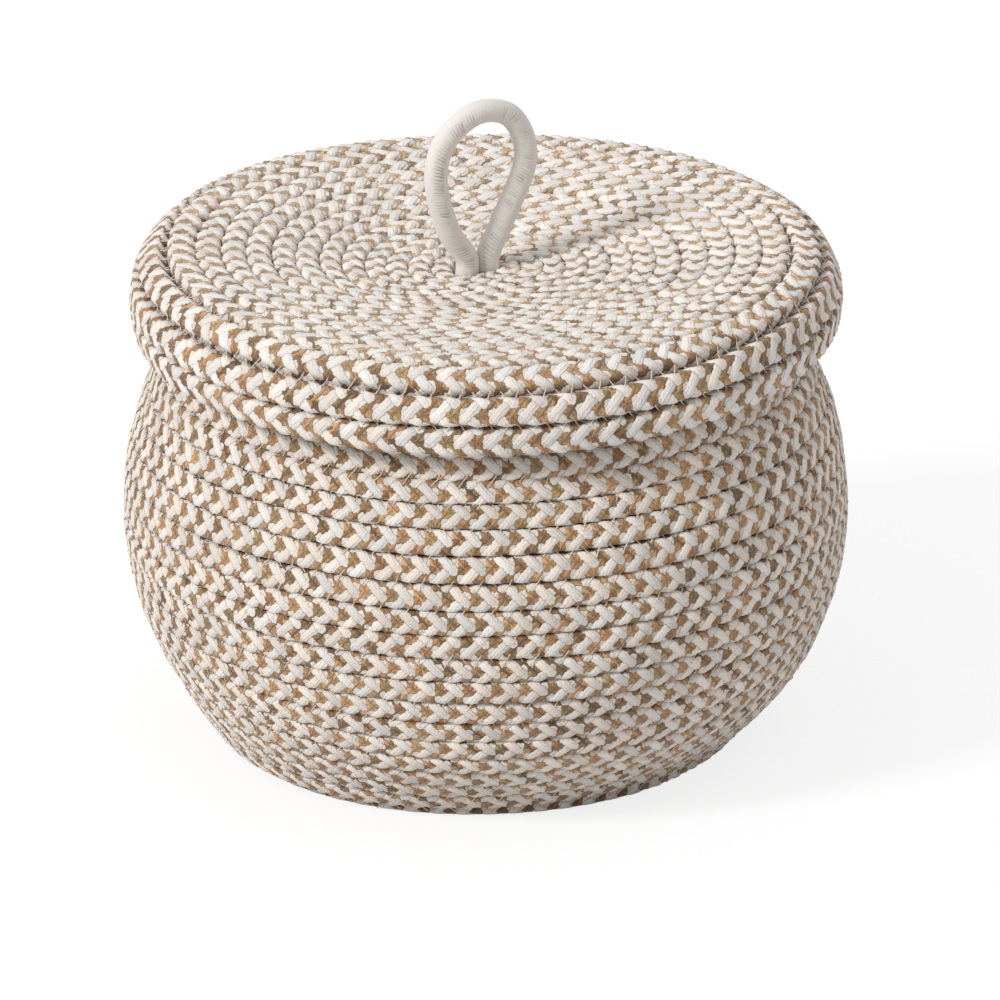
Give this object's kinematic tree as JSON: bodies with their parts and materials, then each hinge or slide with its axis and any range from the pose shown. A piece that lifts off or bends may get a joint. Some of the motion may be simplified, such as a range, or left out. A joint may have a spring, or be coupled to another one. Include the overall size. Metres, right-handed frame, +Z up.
{
  "type": "rope storage basket",
  "caption": "Round-bellied storage basket coiled from braided rope, with a coiled lift-off lid that hangs over its neck and a cord loop to lift it by.",
  "frame": {"origin": "middle of the underside, on the surface that the basket stands on", "axes": "+Z up through the middle of the lid; the pictured front faces -Y, +X is to its right"},
  "size_m": [0.2096, 0.2096, 0.1914],
  "materials": {
    "braided_rope": "braided off-white and tan yarn, matt",
    "lid_rope": "braided off-white and tan yarn, matt",
    "white_cord": "knitted off-white cord cover, matt"
  },
  "bodies": {
    "basket": {"floor_coil": "braided_rope", "flank_coil": "braided_rope", "belly_coil": "braided_rope", "neck_coil": "braided_rope"},
    "lid": {"lid_rim_coil": "lid_rope", "lid_top_coil": "lid_rope", "handle_knot": "white_cord"},
    "handle": {"handle_loop": "white_cord"}
  },
  "joints": [
    {"name": "lid_lift", "type": "slide", "parent": "basket", "child": "lid", "axis": [0, 0, 1], "range_m": [0, 0.12]},
    {"name": "handle_tilt", "type": "hinge", "parent": "lid", "child": "handle", "pos_m": [0, 0, 0.1442], "axis": [0.866, 0.5, 0], "range_deg": [-60, 60], "stiffness_Nm_per_rad": 0.01}
  ]
}
